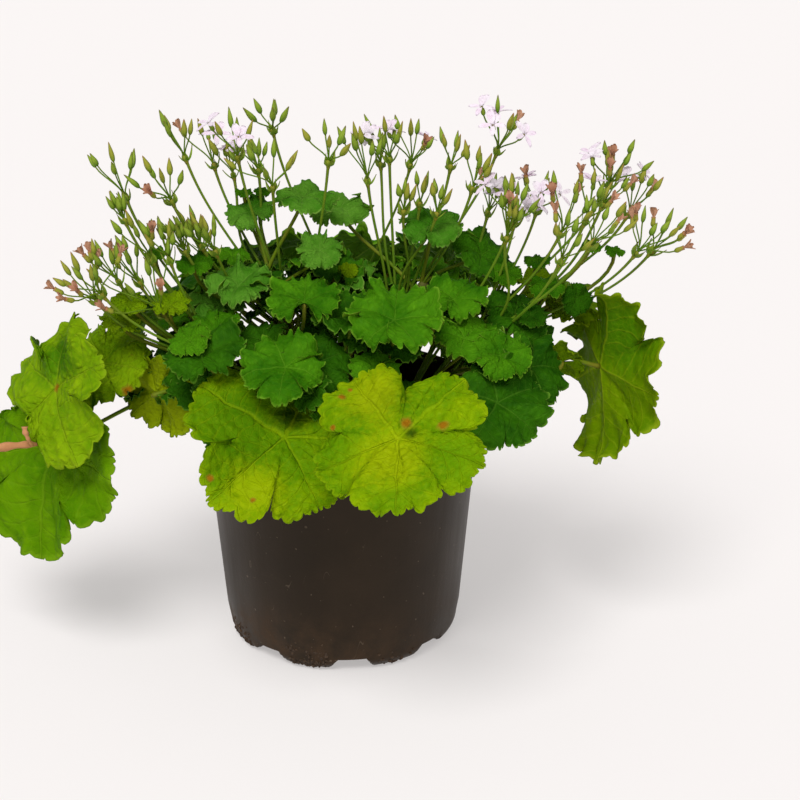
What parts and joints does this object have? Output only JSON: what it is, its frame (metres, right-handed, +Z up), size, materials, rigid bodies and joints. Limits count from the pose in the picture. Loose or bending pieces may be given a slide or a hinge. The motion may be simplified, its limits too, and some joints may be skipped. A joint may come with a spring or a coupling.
{
  "type": "potted scented geranium",
  "caption": "Bushy scented geranium with lobed crinkled leaves, umbels of buds on thin stalks and a round tapered plastic nursery pot.",
  "frame": {"origin": "middle of the pot's flat underside, on the surface it stands on", "axes": "+Z up the pot's axis; the plant's best side faces -Y; +X to the right seen from the front"},
  "size_m": [0.4087, 0.313, 0.3171],
  "materials": {
    "pot": "satin, scuffed and dusty near the foot",
    "soil": "matt, crumbly",
    "stem": "matt, green going to brown",
    "flower_stalk": "matt, finely hairy",
    "leaf_lime": "satin, crinkled, yellow-green with light veins",
    "leaf_mid": "satin, crinkled, mid green with light veins",
    "leaf_dark": "satin, crinkled, dark green with light veins",
    "leaf_olive": "matt, olive underside with raised veins"
  },
  "bodies": {
    "root": {"pot": "pot", "soil": "soil", "stem_left": "stem", "stem_right": "stem", "stem_front": "stem", "stem_back": "stem", "stem_tall_left": "stem", "stem_tall_right": "stem", "flower_stalk_left_1": "flower_stalk", "flower_stalk_left_2": "flower_stalk", "flower_stalk_left_3": "flower_stalk", "flower_stalk_left_4": "flower_stalk", "flower_stalk_left_5": "flower_stalk", "flower_stalk_left_6": "flower_stalk", "flower_stalk_left_7": "flower_stalk", "flower_stalk_middle_1": "flower_stalk", "flower_stalk_middle_2": "flower_stalk", "flower_stalk_middle_3": "flower_stalk", "flower_stalk_right_1": "flower_stalk", "flower_stalk_right_2": "flower_stalk", "flower_stalk_right_3": "flower_stalk", "flower_stalk_right_4": "flower_stalk", "flower_stalk_right_5": "flower_stalk", "flower_stalk_right_6": "flower_stalk", "flower_stalk_right_7": "flower_stalk", "flower_stalk_far_left": "flower_stalk", "flower_stalk_near_left": "flower_stalk", "flower_stalk_back_1": "flower_stalk", "leaf_front_left": "leaf_lime", "leaf_front_right": "leaf_lime", "leaf_far_left_low": "leaf_mid", "leaf_far_left_high": "leaf_mid", "leaf_left_high": "leaf_mid", "leaf_left_under": "leaf_olive", "leaf_left_mid": "leaf_dark", "leaf_front_left_mid": "leaf_dark", "leaf_front_mid_left": "leaf_mid", "leaf_front_mid": "leaf_dark", "leaf_front_high_right": "leaf_mid", "leaf_front_high_left": "leaf_mid", "leaf_high_mid": "leaf_mid", "leaf_right_low": "leaf_dark", "leaf_right_edge": "leaf_dark", "leaf_right_front": "leaf_dark", "leaf_right_high": "leaf_mid", "leaf_right_far_high": "leaf_dark", "leaf_right_back": "leaf_olive", "leaf_far_right": "leaf_olive", "leaf_far_right_fold": "leaf_olive", "leaf_high_left": "leaf_mid", "leaf_top_left": "leaf_mid", "leaf_top_mid_left": "leaf_dark", "leaf_top_back": "leaf_dark", "leaf_top_front": "leaf_mid", "leaf_top_right": "leaf_mid", "leaf_top_far_right": "leaf_dark", "leaf_back_left": "leaf_mid", "leaf_back_mid": "leaf_mid", "leaf_back_right": "leaf_dark", "leaf_back_far_left": "leaf_dark"}
  },
  "joints": []
}
